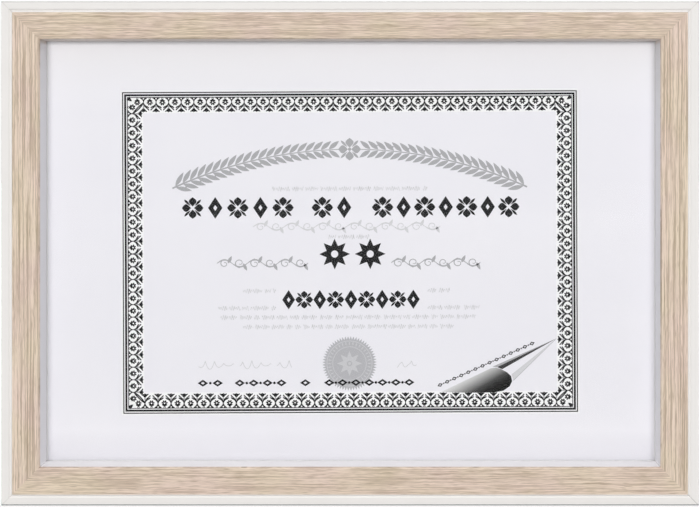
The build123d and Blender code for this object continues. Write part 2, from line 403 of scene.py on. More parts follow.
def make_acrylic():
    """A clear pane: it lets the print through and mirrors more towards grazing angles."""
    shade = Shade("clear_acrylic")
    fresnel = shade.tree.nodes.new("ShaderNodeFresnel")
    # The node turns the index over on faces seen from inside. Here both faces must act the same.
    from_inside = shade.tree.nodes.new("ShaderNodeNewGeometry").outputs["Backfacing"]
    shade.feed(fresnel.inputs["IOR"], shade.between(from_inside, PANE_INDEX, 1 / PANE_INDEX))
    shade.set(Base_Color=(1, 1, 1, 1), Metallic=1.0, Roughness=0.03, Alpha=fresnel.outputs[0])
    return shade.material


# Painted light at the card's top, painted shade at its bottom, and painted light where it shows under the
# lip
PALER_FROM, PALEST_FROM = 34 * MM, 4 * MM  # below the upper sight edge
DARKER_UP_TO = 14 * MM  # above the lower sight edge
CARD_MARGIN = 0.1 * MM  # how far the painted light under the lip reaches into the sight
CARD_DULL, CARD_BRIGHT = srgb(243, 242, 248), srgb(245, 244, 249)
CARD_TOP_PAINTED_LIGHT, CARD_BOTTOM_PAINTED_SHADE, CARD_UNDER_LIP_PAINTED_LIGHT = srgb(253, 252, 255), srgb(221, 220, 226), srgb(255, 255, 255)


def make_paper():
    """Cool white card, with painted light at its top where the moulding shades it, painted shade at its
    bottom where the wall lights it, and painted light under the lip.
    """
    shade = Shade("certificate_card")
    place = shade.place()
    x, y, z = shade.split(place)
    tooth = shade.noise(place, 2600.0, detail=4.0, roughness=0.6)
    colour = shade.mix(shade.spread(shade.noise(place, 22.0, detail=2.0)), CARD_DULL, CARD_BRIGHT)
    # Painted light near the top, painted shade near the bottom and painted light under the lip
    high = shade.range(z, SIGHT_HIGH - PALER_FROM, SIGHT_HIGH - PALEST_FROM)
    colour = shade.mix(high, colour, CARD_TOP_PAINTED_LIGHT)
    low = shade.range(z, SIGHT_LOW, SIGHT_LOW + DARKER_UP_TO, 1.0, 0.0)
    colour = shade.mix(low, colour, CARD_BOTTOM_PAINTED_SHADE)
    inwards = shade.lesser(shade.minus(HALF_WIDTH, shade.math("ABSOLUTE", x)), z)
    under_lip = shade.below(inwards, MOULDING_WIDTH + CARD_MARGIN)
    colour = shade.mix(under_lip, colour, CARD_UNDER_LIP_PAINTED_LIGHT)
    shade.set(Base_Color=colour, Roughness=0.75, Normal=shade.bump(tooth, 0.01 * MM, strength=0.3))
    return shade.material


INK_ROUGHNESS, INK_GLOSS = 0.6, 0.12
SPECKLE_GAIN, SPECKLE_LIFT = 1.12, 0.004  # from the ink's colour to the lighter one of its speckles


def make_ink(name, colour):
    """Printing ink that shows a little of the card's tooth."""
    shade = Shade(name)
    speckle = shade.range(shade.noise(shade.place(), 5200.0, detail=2.0), 0.35, 0.75)
    lighter = tuple(min(1.0, channel * SPECKLE_GAIN + SPECKLE_LIFT) for channel in colour[:3]) + (1.0,)
    tone = shade.mix(speckle, colour, lighter)
    shade.set(Base_Color=tone, Roughness=INK_ROUGHNESS, Specular_IOR_Level=INK_GLOSS)
    return shade.material


BOARD_DARK, BOARD_LIGHT = srgb(141, 104, 70), srgb(156, 118, 82)
PALE_FIBRE, DARK_FIBRE = srgb(190, 155, 115), srgb(108, 76, 50)
FIBRE_STRETCH = 4.0  # how many times longer than wide they are
LEVEL_FIBRES, UPRIGHT_FIBRES = 900.0, 1000.0  # to a metre, across them


def make_fibreboard():
    """Brown hardboard: a smooth dark face with pale and dark fibres pressed into it."""
    shade = Shade("fibreboard")
    place = shade.place()
    x, y, z = shade.split(place)
    matted = {"detail": 4.0, "roughness": 0.65, "distortion": 1.2}
    level = shade.noise(shade.join(shade.times(x, 1 / FIBRE_STRETCH), y, z), LEVEL_FIBRES, **matted)
    upright = shade.noise(shade.join(x, y, shade.times(z, 1 / FIBRE_STRETCH)), UPRIGHT_FIBRES, **matted)
    fibres = shade.times(shade.add(level, upright), 0.5)
    colour = shade.mix(shade.spread(shade.noise(place, 26.0)), BOARD_DARK, BOARD_LIGHT)
    colour = shade.mix(shade.range(fibres, 0.56, 0.70), colour, PALE_FIBRE)
    colour = shade.mix(shade.range(fibres, 0.42, 0.32), colour, DARK_FIBRE)
    shade.set(
        Base_Color=colour,
        Roughness=shade.range(fibres, 0.35, 0.65, to_low=0.50, to_high=0.68),
        Normal=shade.bump(fibres, 0.03 * MM, strength=0.5),
    )
    return shade.material


CLOUDED = 0.78  # how bright the plating stays where it is cloudy


def make_steel(name, colour, roughness):
    """Zinc-plated steel: cloudy plating, fine scratches and slightly uneven gloss."""
    shade = Shade(name)
    place = shade.place()
    bloom = shade.noise(place, 420.0, detail=4.0, roughness=0.6)
    scratches = shade.noise(place, 5200.0, roughness=0.7, distortion=2.0)
    darker = tuple(channel * CLOUDED for channel in colour[:3]) + (1.0,)
    shade.set(
        Base_Color=shade.mix(shade.spread(bloom), darker, colour),
        Metallic=1.0,
        Roughness=shade.spread(bloom, roughness - 0.06, roughness + 0.10),
        Normal=shade.bump(scratches, 0.01 * MM, strength=0.5),
    )
    return shade.material


def dress(material, *names):
    for name in names:
        mesh = NODES[name].data
        mesh.materials.clear()
        mesh.materials.append(material)


def dress_nodes():
    dress(make_white_foil(), "rail_bottom", "rail_right", "rail_top", "rail_left")
    for number, side in enumerate(OAK_PALEST, start=1):
        dress(make_oak(side, OAK_SEED * number), f"oak_strip_{side}")
    dress(make_acrylic(), "acrylic_glazing")
    dress(make_paper(), "certificate_sheet")
    dress(make_fibreboard(), "backing_board")
    dress(make_steel("nail_steel", srgb(176, 176, 178), roughness=0.42), "corner_v_nails")
    dress(make_steel("screw_steel", srgb(206, 204, 198), roughness=0.26), "turn_button_screws")
    dress(make_steel("rivet_steel", srgb(212, 211, 208), roughness=0.24), "hanger_rivets")
    button_steel = make_steel("button_steel", srgb(200, 200, 198), roughness=0.32)
    hanger_steel = make_steel("hanger_steel", srgb(204, 203, 198), roughness=0.28)
    for name in NODES:
        if name.startswith("turn_button_") and name != "turn_button_screws":
            dress(button_steel, name)
        if name.startswith(("hanger_strap", "hanger_ring")):
            dress(hanger_steel, name)


# Flat outlines for the print, in millimetres

QUARTER_TURNS = (0, 90, 180, 270)


class Shape:
    """A filled outline with holes."""

    def __init__(self, outline, *holes):
        self.loops = [list(outline), *[list(hole) for hole in holes]]
        self.triangles = tessellate_polygon([[Vector((u, v, 0)) for u, v in loop] for loop in self.loops])


def shares(steps):
    """Evenly spaced shares of a length, from 0 to 1."""
    return [step / steps for step in range(steps + 1)]


def turned(points, degrees, du=0.0, dv=0.0):
    """Points turned about the origin and then moved."""
    c, s = math.cos(math.radians(degrees)), math.sin(math.radians(degrees))
    return [(u * c - v * s + du, u * s + v * c + dv) for u, v in points]


def mirrored(points):
    return [(-u, v) for u, v in points]


def on_side(outline, side):
    """An outline drawn for the right, or for the left where side is -1."""
    return outline if side > 0 else mirrored(outline)


def ellipse(du, dv, half_width, half_height, steps=20):
    angles = [math.tau * step / steps for step in range(steps)]
    return [(du + half_width * math.cos(angle), dv + half_height * math.sin(angle)) for angle in angles]


def circle(du, dv, radius, steps=20):
    return ellipse(du, dv, radius, radius, steps)


def rectangle(half_width, half_height):
    return [
        (-half_width, -half_height),
        (half_width, -half_height),
        (half_width, half_height),
        (-half_width, half_height),
    ]


def leaf(start, end, half_width, steps=8, fullest=0.5):
    """A leaf pointed at both ends, along +u, with its widest place at a share of its length."""
    bend = math.log(0.5) / math.log(fullest)
    upper = []
    for share in shares(steps):
        upper.append((start + (end - start) * share, half_width * math.sin(math.pi * share ** bend)))
    return upper + [(u, -v) for u, v in reversed(upper[1:-1])]


def stroke(path, widths):
    """The outline of a line drawn along a path, with a width at each of its points."""
    left, right = [], []
    for index, (u, v) in enumerate(path):
        before = path[max(index - 1, 0)]
        after = path[min(index + 1, len(path) - 1)]
        run = Vector((after[0] - before[0], after[1] - before[1])).normalized()
        half = widths[index] / 2
        left.append((u - run.y * half, v + run.x * half))
        right.append((u + run.y * half, v - run.x * half))
    return left + right[::-1]


PRINT_TILT = 0.25  # degrees: the certificate sits slightly turned in its frame
PRINT_RIGHT, PRINT_UP = -0.46, -0.46  # mm, from the frame's middle to the print's
INK_BASE = 0.003 * MM  # from the card to the lowest ink
INK_FILM = 0.013 * MM  # of each layer of ink
INK_STEP = 0.0005 * MM  # between shapes of one layer that may overlap
INK_STEPS = 12


class Ink:
    """Printed shapes of one colour, gathered into one thin mesh just in front of the card."""

    def __init__(self, name, layer, material):
        self.name, self.layer, self.material = name, layer, material
        self.vertices, self.faces = [], []
        self.shapes = 0

    def lay(self, points, y):
        for u, v in turned(points, PRINT_TILT, PRINT_RIGHT, PRINT_UP):
            self.vertices.append((u * MM, y, MIDDLE_Z + v * MM))

    def add(self, shape, degrees=0.0, du=0.0, dv=0.0):
        """A shape, turned and then moved, with its front, its back and its edges."""
        start = len(self.vertices)
        points = turned([point for loop in shape.loops for point in loop], degrees, du, dv)
        back = PAPER_Y - INK_BASE
        front = back - (self.layer + 1) * INK_FILM - (self.shapes % INK_STEPS) * INK_STEP
        self.lay(points, front)
        self.lay(points, back)
        count = len(points)
        for a, b, c in shape.triangles:
            self.faces.append((start + a, start + b, start + c))
            self.faces.append((start + count + c, start + count + b, start + count + a))
        first = start
        for loop in shape.loops:
            for index in range(len(loop)):
                near, far = first + index, first + (index + 1) % len(loop)
                self.faces.append((near, far, far + count, near + count))
            first += len(loop)
        self.shapes += 1

    def add_all(self, shapes, degrees=0.0, du=0.0, dv=0.0):
        for shape in shapes:
            self.add(shape, degrees, du, dv)

    def make(self):
        mesh = bpy.data.meshes.new(self.name)
        mesh.from_pydata(self.vertices, [], self.faces)
        work = bmesh.new()
        work.from_mesh(mesh)
        bmesh.ops.recalc_face_normals(work, faces=work.faces)
        work.to_mesh(mesh)
        work.free()
        mesh.materials.append(self.material)
        piece = bpy.data.objects.new(self.name, mesh)
        bpy.context.scene.collection.objects.link(piece)
        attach(piece, BODY)


# The border: ruled lines, then flowers in round fields with leaves that point inwards.
# Its motifs are drawn with v = 0 on the outer line and -v inwards.

BORDER_WIDTH, BORDER_HEIGHT = 209.2, 147.8  # between the middles of the outer lines
FLOWERS_ALONG, FLOWERS_DOWN = 34, 24
CORNER_TO_FLOWER = 6.75
PITCH_DRIFT_ALONG, PITCH_DRIFT_DOWN = 0.0175, 0.0085  # how far a side's flowers run ahead, of its half
WIDEST_DRIFT = -0.18  # where they do so most, from -1 to 1 clockwise
OUTER_RULE, HEAVY_RULE, THIN_RULE = 0.52, 0.92, 0.34
HEAVY_INSET, THIN_INSET = 1.20, 2.22
GROUND_OUTSET, GROUND_INSET = 0.95, 9.5  # the brighter ground that the border is printed on
FIELD_INSET, FIELD_HALF_WIDTH, FIELD_HALF_HEIGHT = 4.42, 2.72, 2.0  # the round field behind a flower
FLOWER_INSET, FLOWER_RING, FLOWER_EYE = 4.52, 0.84, 0.35
PETALS = 7
BROAD_PETAL_RISE, BROAD_PETAL_HALF_HEIGHT = 0.90, 0.52
BUD_INSET, BUD_RADIUS, BUD_EYE = 2.72, 0.50, 0.24
DOT_INSET, DOT_RADIUS = 2.82, 0.34  # the white dot between two fields
APEX_INSET = 4.8  # where two leaves part between two flowers
CORNER_FIELD, CORNER_CHAMFER = 2.62, 4.6  # the corner field's start, and where its inner side is cut off


def rule(inset, thickness):
    half_width, half_height = BORDER_WIDTH / 2 - inset, BORDER_HEIGHT / 2 - inset
    half = thickness / 2
    outside = rectangle(half_width + half, half_height + half)
    return Shape(outside, rectangle(half_width - half, half_height - half))


def flower():
    """Petals round a white eye, the one towards the rules broad and thick, with a bud beyond it."""
    ring = circle(0, -FLOWER_INSET, FLOWER_RING)
    shapes = [Shape(ring, circle(0, -FLOWER_INSET - 0.02, FLOWER_EYE, 12))]
    half_petal = [(0.5, 0.24), (1.02, 0.38), (1.42, 0.2)]
    petal = [(u, -v) for u, v in half_petal] + half_petal[::-1]
    for index in range(1, PETALS):
        shapes.append(Shape(turned(petal, 90 + 360 / PETALS * index, 0, -FLOWER_INSET)))
    broad = ellipse(0, BROAD_PETAL_RISE - FLOWER_INSET, FLOWER_RING, BROAD_PETAL_HALF_HEIGHT, 16)
    shapes.append(Shape(broad))
    shapes.append(Shape(circle(0, -BUD_INSET, BUD_RADIUS, 14), circle(0, -BUD_INSET, BUD_EYE, 10)))
    return shapes


def cusp():
    return Shape([(-1.9, -THIN_INSET), (1.9, -THIN_INSET), (0.8, -3.55), (0, -4.6), (-0.8, -3.55)])


def leaf_prongs(side):
    """The forked leaf to one side of the place between two flowers."""
    inner = [(-0.05, -4.62), (0.4, -5.3), (1.05, -6.2), (1.64, -6.95), (2.5, -8.2)]
    outer = [(0.8, -5.6), (1.5, -6.35), (2.0, -6.72), (2.6, -6.95)]
    prongs = (stroke(inner, (0.7, 1.4, 1.34, 0.96, 0.34)), stroke(outer, (0.6, 0.72, 0.6, 0.24)))
    return [Shape(on_side(prong, side)) for prong in prongs]


def leaf_gap(side):
    """The bright line between a forked leaf and the palmette under it."""
    path = [(0.42, -6.7), (0.72, -7.1), (1.3, -7.8), (2.2, -8.9)]
    return Shape(on_side(stroke(path, (0.2, 0.44, 0.52, 0.34)), side))


def leaf_tint(side):
    return Shape(on_side(stroke([(1.6, -6.8), (2.0, -7.3), (2.5, -7.5)], (0.16, 0.36, 0.16)), side))


def palmette():
    right = [(0.28, -7.1), (0.52, -7.45), (0.88, -7.9), (1.24, -8.22), (1.66, -8.55), (1.54, -9.0)]
    right += [(1.14, -8.82), (0.84, -8.66), (0.64, -8.95), (0.36, -8.75)]
    return Shape([(0, -6.7), *right, (0, -9.2), *reversed(mirrored(right))])


def stem_tint():
    return Shape([(0, -5.5), (0.34, -6.3), (0.34, -7.3), (-0.34, -7.3), (-0.34, -6.3)])


def sides():
    """Each side's turn, its distance from the middle and its flowers' places, clockwise."""
    for degrees in QUARTER_TURNS:
        upright = degrees in (90, 270)
        along = BORDER_HEIGHT if upright else BORDER_WIDTH
        across = BORDER_WIDTH if upright else BORDER_HEIGHT
        count = FLOWERS_DOWN if upright else FLOWERS_ALONG
        drift = PITCH_DRIFT_DOWN if upright else PITCH_DRIFT_ALONG
        reach = along / 2 - CORNER_TO_FLOWER
        places = []
        for index in range(count):
            share = 2 * index / (count - 1) - 1
            if share < WIDEST_DRIFT:
                ahead = (1 + share) / (1 + WIDEST_DRIFT)
            else:
                ahead = (1 - share) / (1 - WIDEST_DRIFT)
            places.append(reach * (share - drift * ahead))
        yield degrees, across / 2, places


def at_corner(points, right, up):
    """Points measured inwards from a corner's two outer lines, at one of the four corners."""
    return [(right * (BORDER_WIDTH / 2 - u), up * (BORDER_HEIGHT / 2 - v)) for u, v in points]


def print_corners(inks):
    """The drop on each corner's diagonal, and the bar that joins the last leaves of two sides."""
    places = {degrees: spots for degrees, level, spots in sides()}
    level_apex = CORNER_TO_FLOWER + (places[0][1] - places[0][0]) / 2
    upright_apex = CORNER_TO_FLOWER + (places[90][1] - places[90][0]) / 2
    half_bar = (level_apex + APEX_INSET) / 2
    middle = (half_bar + 0.05, half_bar - 0.05)
    drop = [(2.5, 2.45), (3.1, 3.0), (3.7, 3.5), (4.3, 3.9)]
    bar = [(level_apex + 0.1, APEX_INSET - 0.2), (8.5, 5.9), middle, (5.9, 8.5)]
    bar.append((APEX_INSET - 0.2, upright_apex + 0.1))
    gap = [(level_apex - 0.25, 6.35), (8.7, 7.0), (7.85, 7.85), (7.0, 8.7), (6.35, upright_apex - 0.25)]
    field = [(CORNER_FIELD, CORNER_FIELD), (CORNER_TO_FLOWER, CORNER_FIELD)]
    field += [(CORNER_TO_FLOWER, CORNER_CHAMFER), (CORNER_CHAMFER, CORNER_TO_FLOWER)]
    field.append((CORNER_FIELD, CORNER_TO_FLOWER))
    pieces = (
        (inks.black, stroke(drop, (1.9, 1.6, 0.95, 0.2))),
        (inks.black, stroke(bar, (0.5, 1.15, 1.35, 1.15, 0.5))),
        (inks.leaf_grey, stroke([(8.25, 6.2), middle, (6.2, 8.25)], (0.2, 0.7, 0.2))),
        (inks.field, stroke(gap, (0.2, 0.42, 0.5, 0.42, 0.2))),
        (inks.field, field),
    )
    for right in (-1, 1):
        for up in (-1, 1):
            for ink, outline in pieces:
                ink.add(Shape(at_corner(outline, right, up)))


def print_border(inks):
    inks.ground.add(rule((GROUND_INSET - GROUND_OUTSET) / 2, GROUND_INSET + GROUND_OUTSET))
    inks.ground.add(rule(HEAVY_INSET / 2, HEAVY_INSET))
    inks.dark.add(rule(0, OUTER_RULE))
    inks.black.add(rule(HEAVY_INSET, HEAVY_RULE))
    inks.dark.add(rule(THIN_INSET, THIN_RULE))
    field = Shape(ellipse(0, -FIELD_INSET, FIELD_HALF_WIDTH, FIELD_HALF_HEIGHT, 28))
    dot = Shape(circle(0, -DOT_INSET, DOT_RADIUS, 10))
    for degrees, level, places in sides():
        for place in places:
            du, dv = turned([(place, level)], degrees)[0]
            inks.field.add(field, degrees, du, dv)
            inks.black.add_all(flower(), degrees, du, dv)
        last = len(places) - 2
        for index, place in enumerate(places[:-1]):
            du, dv = turned([((place + places[index + 1]) / 2, level)], degrees)[0]
            inks.leaf.add(cusp(), degrees, du, dv)
            inks.leaf.add(palmette(), degrees, du, dv)
            inks.tint.add(stem_tint(), degrees, du, dv)
            inks.dot.add(dot, degrees, du, dv)
            for side in (-1, 1):
                if (index, side) in ((0, -1), (last, 1)):
                    continue
                inks.leaf.add_all(leaf_prongs(side), degrees, du, dv)
                inks.field.add(leaf_gap(side), degrees, du, dv)
                inks.tint.add(leaf_tint(side), degrees, du, dv)
    print_corners(inks)


# Where a real certificate has its lettering stand ornaments of like weight and colour


def fleuron(size):
    """A printer's flower: four broad leaves in a cross and four thin ones between them."""
    reach = size / 2
    broad = leaf(0.14 * reach, reach, half_width=0.36 * reach, steps=12, fullest=0.55)
    thin = leaf(0.24 * reach, 1.12 * reach, half_width=0.11 * reach, fullest=0.6)
    shapes = []
    for degrees in QUARTER_TURNS:
        shapes.append(Shape(turned(broad, degrees)))
        shapes.append(Shape(turned(thin, degrees + 45)))
    return shapes


def lozenge(size, hollow=0.28):
    reach = size / 2
    outline = [(0.66 * reach, 0), (0, reach), (-0.66 * reach, 0), (0, -reach)]
    return [Shape(outline, [(hollow * u, hollow * v) for u, v in outline])]


def star(size, points, inner_share):
    """A star with a round hole in its middle."""
    reach = size / 2
    outline = []
    for index in range(2 * points):
        length = reach if index % 2 == 0 else reach * inner_share
        angle = math.pi / 2 + math.pi * index / points
        outline.append((length * math.cos(angle), length * math.sin(angle)))
    return Shape(outline, circle(0, 0, reach * inner_share * 0.42, 20))


def row_of(ink, kinds, left, right, count, v):
    """Evenly spaced ornaments, their kinds in turn."""
    pitch = (right - left) / count
    for index in range(count):
        ink.add_all(kinds[index % len(kinds)], 0, left + (index + 0.5) * pitch, v)


def beads(ink, left, right, v, size, degrees=0.0, origin=(0, 0)):
    """A chain of small hollow lozenges with dots between them."""
    count = max(1, round((right - left) / (1.35 * size)))
    pitch = (right - left) / count
    for index in range(count):
        place = left + (index + 0.5) * pitch
        du, dv = turned([(place, v)], degrees, *origin)[0]
        ink.add_all(lozenge(size, 0.4), degrees + 90, du, dv)
        if index:
            du, dv = turned([(place - pitch / 2, v)], degrees, *origin)[0]
            ink.add(Shape(circle(0, 0, 0.13 * size, 8)), degrees, du, dv)


RIPPLE_PITCH, RIPPLE_HEIGHT, RIPPLE_LINE = 1.0, 0.85, 0.24
RIPPLE_SWELL, SWELL_PITCH = 0.35, 3.7  # how much the ripples' height changes, and how often
RIPPLE_LEAN = 0.3  # how far they lean, as a share of their height
WORD_LENGTHS, WORD_GAPS = (2.5, 9.0), (0.8, 1.3)  # least and most


def fine_rule(ink, left, right, v, seed):
    """A faint line of short ripples, in place of a line of small type."""
    rng = random.Random(seed)
    u = left
    while u < right - RIPPLE_PITCH:
        end = min(u + rng.uniform(*WORD_LENGTHS), right)
        path = []
        for share in shares(max(6, round((end - u) / (RIPPLE_PITCH / 8)))):
            place = u + (end - u) * share
            tall = RIPPLE_HEIGHT + RIPPLE_SWELL * math.sin(math.tau * place / SWELL_PITCH)
            path.append((place + RIPPLE_LEAN * tall, v + tall * math.sin(math.tau * place / RIPPLE_PITCH)))
        ink.add(Shape(stroke(path, [RIPPLE_LINE] * len(path))))
        u = end + rng.uniform(*WORD_GAPS)


VINE_WAVE, CURL_REACH, CURL_DROP = 0.22, 0.30, 0.02  # shares of the vine's height
VINE_LEAF_LENGTH, VINE_LEAF_HALF_WIDTH = 0.52, 0.10  # also shares of its height
VINE_LEAF_AHEAD = 0.22  # from a curl's middle to its leaf, as a share of a bend
VINE_LEAF_LEAN = 62  # degrees
STEM_THIN, STEM_SWELL = 0.30, 0.38  # the stem's least width, and what it gains in a bend
CURL_HALF_TURNS, CURL_SHRINK, CURL_FLATNESS = 2.2, 0.78, 0.9
CURL_LINE, CURL_TAPER = 0.46, 0.20  # its width, and how much of that it loses


def curl(middle, v, up, reach, drop):
    """A spiral from above or below the stem, with its line's widths."""
    path, widths = [], []
    for share in shares(26):
        angle = up * math.pi * (0.5 + CURL_HALF_TURNS * share)
        radius = reach * (1 - CURL_SHRINK * share)
        u = middle + radius * math.cos(angle)
        path.append((u, v - up * drop + CURL_FLATNESS * radius * math.sin(angle)))
        widths.append(CURL_LINE - CURL_TAPER * share)
    return path, widths


def scroll(ink, left, right, v, height, waves, seed):
    """A running vine: a waved stem with a curl and a leaf in each bend."""
    rng = random.Random(seed)
    length = right - left
    stem, widths = [], []
    for share in shares(12 * waves):
        angle = math.pi * waves * share
        stem.append((left + length * share, v + VINE_WAVE * height * math.sin(angle)))
        widths.append(STEM_THIN + STEM_SWELL * abs(math.sin(angle)))
    ink.add(Shape(stroke(stem, widths)))
    blade = leaf(0, VINE_LEAF_LENGTH * height, VINE_LEAF_HALF_WIDTH * height, fullest=0.45)
    for wave in range(waves):
        middle = left + length * (wave + 0.5) / waves
        up = 1 if wave % 2 == 0 else -1
        reach = CURL_REACH * height * rng.uniform(0.9, 1.1)
        ink.add(Shape(stroke(*curl(middle, v, up, reach, CURL_DROP * height))))
        ink.add(Shape(turned(blade, up * VINE_LEAF_LEAN, middle + VINE_LEAF_AHEAD * length / waves, v)))


GARLAND_RADIUS, GARLAND_TOP, GARLAND_HALF_SPAN = 198.0, 47.4, 24.4  # mm, mm and degrees
BRANCH_REACH, LEAVES_REACH = 0.955, 0.91  # how far up the arc they go, as shares of half the span
BRANCH_WIDTH, BRANCH_TAPER = 0.75, 0.40
LAUREL_PAIRS = 21  # pairs of leaves on each branch
LAUREL_LENGTH, LAUREL_SHORTER = 8.0, 0.07  # of the first pair, and how much shorter each next pair is
LAUREL_START, LAUREL_HALF_WIDTH, LAUREL_LEAN = 0.5, 1.02, 36  # mm, mm and degrees
BERRY_PLACE, BERRY_RADIUS = (2.0, 1.15), 0.42
GARLAND_FLOWER, GARLAND_FLOWER_MIDDLE = 10.4, 0.75


def laurel_branch(ink, side):
    """A stem with pairs of leaves along the arc, and two berries at every other pair."""
    centre = GARLAND_TOP - GARLAND_RADIUS
    half_span = side * GARLAND_HALF_SPAN
    stem, widths = [], []
    for share in shares(40):
        degrees = 90 + half_span * (1 - BRANCH_REACH * share)
        stem.append(turned([(GARLAND_RADIUS, 0)], degrees, 0, centre)[0])
        widths.append(BRANCH_WIDTH - BRANCH_TAPER * share)
    ink.add(Shape(stroke(stem, widths)))
    for index in range(LAUREL_PAIRS):
        degrees = half_span * (1 - LEAVES_REACH * (index + 0.35) / LAUREL_PAIRS)
        place = turned([(0, GARLAND_RADIUS)], degrees, 0, centre)[0]
        heading = degrees + (180 if side < 0 else 0)
        length = LAUREL_LENGTH - LAUREL_SHORTER * index
        blade = leaf(LAUREL_START, length, LAUREL_HALF_WIDTH, fullest=0.46)
        for lean in (-LAUREL_LEAN, LAUREL_LEAN):
            ink.add(Shape(turned(blade, heading + lean, *place)))
        if index % 2:
            for lean in (-90, 90):
                berry = turned([BERRY_PLACE], heading + lean, *place)[0]
                ink.add(Shape(circle(*berry, BERRY_RADIUS, 10)))


def garland(ink):
    """Two laurel branches along an arc, from its ends to a flower at its top."""
    for side in (-1, 1):
        laurel_branch(ink, side)
    ink.add_all(fleuron(GARLAND_FLOWER), 0, 0, GARLAND_TOP)
    ink.add(Shape(circle(0, 0, GARLAND_FLOWER_MIDDLE, 14)), 0, 0, GARLAND_TOP)


SEAL_MIDDLE = (-0.45, -51.4)
SEAL_RADIUS, SEAL_NOTCHES = 12.6, 60
NOTCH_FLOOR = 0.88  # how far from the middle the notches end, as a share of the radius
SEAL_RINGS = ((10.6, 10.2), (7.9, 7.55))  # outer and inner radius
SEAL_RAYS, RAY_START, RAY_END, RAY_HALF_WIDTH = 36, 8.3, 10.2, 0.30
SEAL_STAR, SEAL_STAR_MIDDLE = 11.6, 0.7


def print_seal(inks):
    """A notched seal with rings, rays and a plain star."""
    rim = []
    for index in range(2 * SEAL_NOTCHES):
        angle = math.tau * index / (2 * SEAL_NOTCHES)
        reach = SEAL_RADIUS if index % 2 else SEAL_RADIUS * NOTCH_FLOOR
        rim.append((reach * math.cos(angle), reach * math.sin(angle)))
    inks.seal.add(Shape(rim), 0, *SEAL_MIDDLE)
    light = [Shape(circle(0, 0, outer, 72), circle(0, 0, inner, 72)) for outer, inner in SEAL_RINGS]
    ray = leaf(RAY_START, RAY_END, RAY_HALF_WIDTH, steps=6)
    for index in range(SEAL_RAYS):
        light.append(Shape(turned(ray, 360 / SEAL_RAYS * index)))
    light += [star(SEAL_STAR, points=8, inner_share=0.52), Shape(circle(0, 0, SEAL_STAR_MIDDLE, 16))]
    inks.seal_light.add_all(light, 0, *SEAL_MIDDLE)


PEN_PITCH, PEN_REACH, PEN_LINE = 4.2, 0.5, 0.3  # from loop to loop, each loop's half width, thickness
PEN_LOW, PEN_GAIN, PEN_SWELLS = 0.5, 1.5, 2.3  # the loops' least height, what they gain, and how often


def pen_line(ink, left, width, v, seed):
    """A loose pen line that spells nothing."""
    rng = random.Random(seed)
    phase = rng.uniform(0, math.tau)
    loops = round(width / PEN_PITCH)
    path = []
    for share in shares(14 * loops):
        angle = math.tau * loops * share + phase
        tall = PEN_LOW + PEN_GAIN * abs(math.sin(math.pi * share * PEN_SWELLS + phase)) ** 3
        path.append((left + width * share + PEN_REACH * math.cos(angle), v + tall * math.sin(angle)))
    ink.add(Shape(stroke(path, [PEN_LINE] * len(path))))


TITLE_V = 20.6
TITLE_WORDS = ((-77.7, -25.6, 5), (-17.7, 2.4, 2), (10.3, 78.1, 7))  # left, right and count of each
STARS_U, STARS_V, STAR_SIZE = (-7.1, 9.3), -0.9, 14.2
FINE_RULES = (  # left, right and v of each
    (-36.0, 35.5, 29.2),
    (-10.2, 9.2, 7.0),
    (-49.6, -34.5, -17.8),
    (35.5, 47.5, -17.8),
    (-61.0, -34.5, -25.7),
    (35.5, 59.4, -25.7),
    (-60.0, 58.4, -30.0),
    (-49.6, 47.5, -34.4),
)
FOOT_V = -60.2
FOOT_WORDS = ((-71.5, -57.9), (-54.3, -28.7), (-25.4, -16.3), (-12.9, 30.1))  # left and right of each


def print_ornaments(inks):
    garland(inks.vine)
    for left, right, count in TITLE_WORDS:
        row_of(inks.black, [fleuron(9.9), lozenge(10.0)], left, right, count, TITLE_V)
    for u in STARS_U:
        inks.black.add(star(STAR_SIZE, points=8, inner_share=0.56), 0, u, STARS_V)
    row_of(inks.black, [lozenge(8.9), fleuron(8.1)], left=-32.0, right=32.7, count=9, v=-21.9)
    scroll(inks.light, left=-44.7, right=41.7, v=11.8, height=7.0, waves=12, seed=3)
    scroll(inks.vine, left=-61.4, right=-19.3, v=-5.0, height=7.4, waves=6, seed=1)
    scroll(inks.vine, left=19.0, right=60.2, v=-5.0, height=7.4, waves=6, seed=2)
    for seed, (left, right, v) in enumerate(FINE_RULES):
        fine_rule(inks.light, left, right, v, seed)
    for left, right in FOOT_WORDS:
        beads(inks.black, left, right, FOOT_V, size=4.8)
    beads(inks.dark, left=0.5, right=50.5, v=0.0, size=2.7, degrees=24.0, origin=(39.2, -62.4))
    pen_line(inks.light, left=-69.7, width=43.0, v=-51.8, seed=5)
    pen_line(inks.light, left=21.4, width=9.0, v=-51.6, seed=6)


# The printed picture of a film that peels off from a corner

ROLL_SLOPE = 0.571  # of its upper edge
ROLL_BRIGHT, ROLL_DARK = 87.5, 102.0  # mm across the roll, where its tones start and end
ROLL_GREYS = ((0.22, 204), (0.45, 146), (0.64, 76), (0.83, 36))  # at shares of that way
FILM_TIP = (95.0, -40.3)


